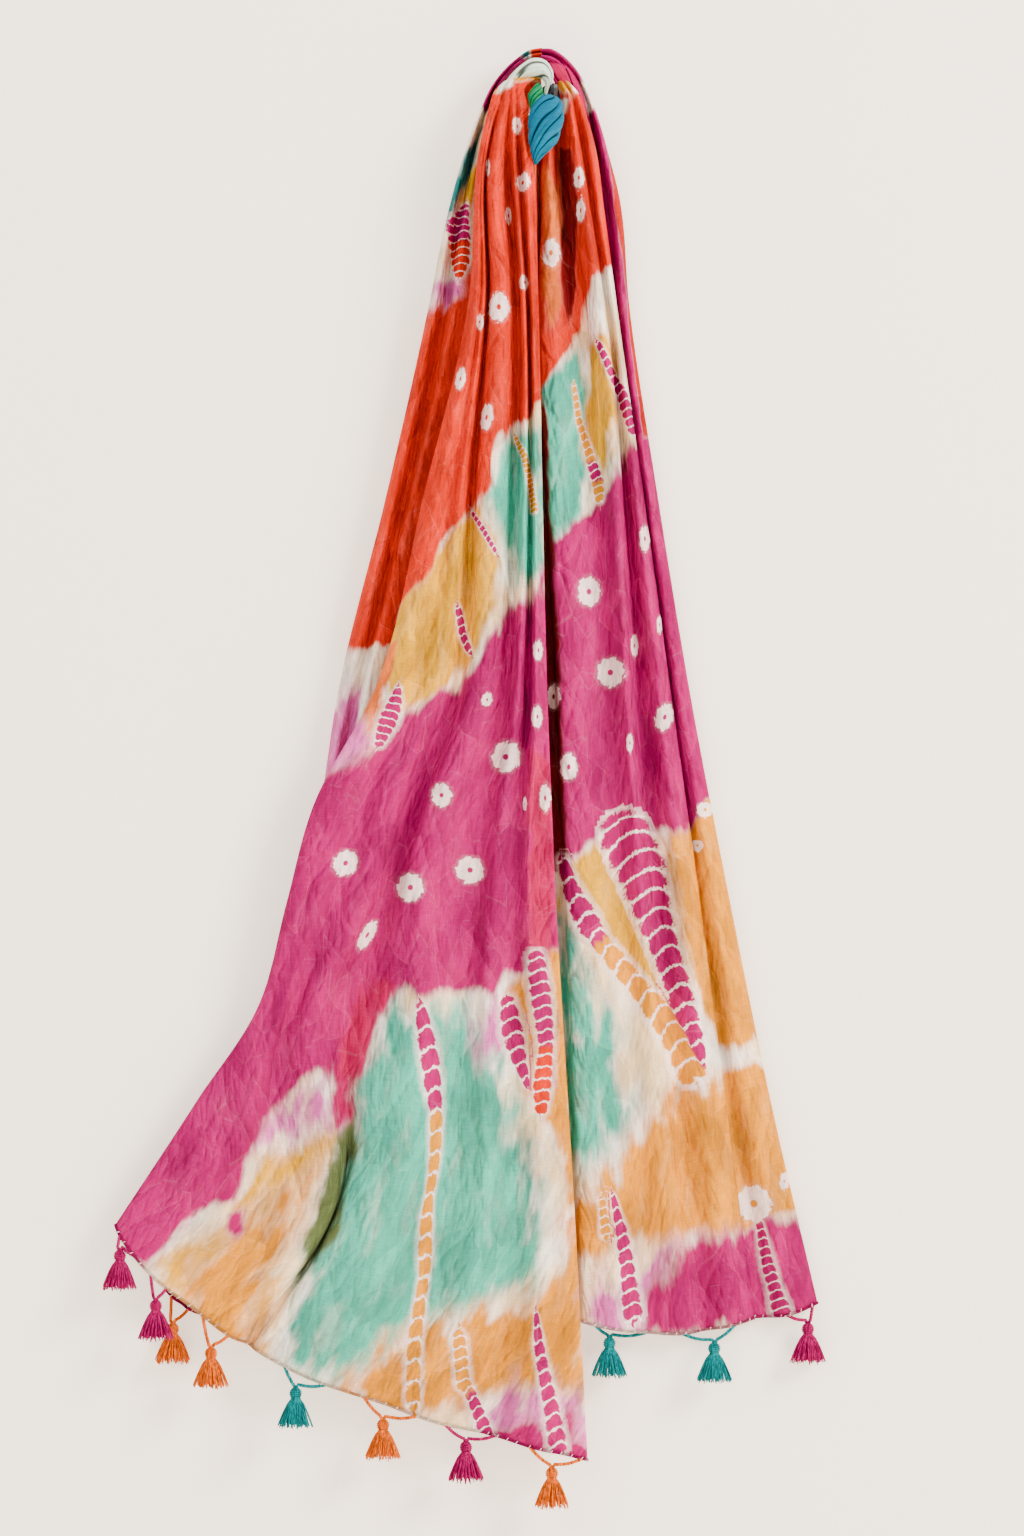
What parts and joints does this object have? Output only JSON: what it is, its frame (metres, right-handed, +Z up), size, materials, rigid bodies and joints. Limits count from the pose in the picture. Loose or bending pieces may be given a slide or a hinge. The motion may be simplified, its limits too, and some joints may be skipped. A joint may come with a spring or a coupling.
{
  "type": "dupatta stole on a wall hook",
  "caption": "Long tie-dyed stole looped over a small wall hook, its two pleated tails hanging to slanted hems edged with tassels on cord loops.",
  "frame": {"origin": "centre of the hook's back plate, on the wall plane", "axes": "+Z up, +Y into the wall, +X to the right as seen from the front; the cloth hangs in front of the wall, at -Y"},
  "size_m": [0.484, 0.0617, 0.9757],
  "materials": {
    "wall_hook": "dark grey, satin",
    "left_column": "printed crinkled cloth, matt",
    "front_tail": "printed crinkled cloth, matt",
    "back_tail": "printed crinkled cloth, matt",
    "right_column": "printed crinkled cloth, matt",
    "inner_arch": "printed crinkled cloth, matt",
    "knot_green": "printed crinkled cloth, matt",
    "knot_teal": "printed crinkled cloth, matt",
    "tassel_magenta": "silky thread",
    "tassel_orange": "silky thread",
    "tassel_teal": "silky thread"
  },
  "bodies": {
    "root": {"wall_hook": "wall_hook", "left_column": "left_column", "front_tail": "front_tail", "back_tail": "back_tail", "right_column": "right_column", "inner_arch": "inner_arch", "knot_green": "knot_green", "knot_teal": "knot_teal", "tassel_loop_01": "tassel_magenta", "tassel_01": "tassel_magenta", "tassel_loop_02": "tassel_magenta", "tassel_02": "tassel_magenta", "tassel_loop_03": "tassel_orange", "tassel_03": "tassel_orange", "tassel_loop_04": "tassel_orange", "tassel_04": "tassel_orange", "tassel_loop_05": "tassel_teal", "tassel_05": "tassel_teal", "tassel_loop_06": "tassel_orange", "tassel_06": "tassel_orange", "tassel_loop_07": "tassel_magenta", "tassel_07": "tassel_magenta", "tassel_loop_08": "tassel_orange", "tassel_08": "tassel_orange", "tassel_loop_09": "tassel_teal", "tassel_09": "tassel_teal", "tassel_loop_10": "tassel_teal", "tassel_10": "tassel_teal", "tassel_loop_11": "tassel_magenta", "tassel_11": "tassel_magenta"}
  },
  "joints": []
}
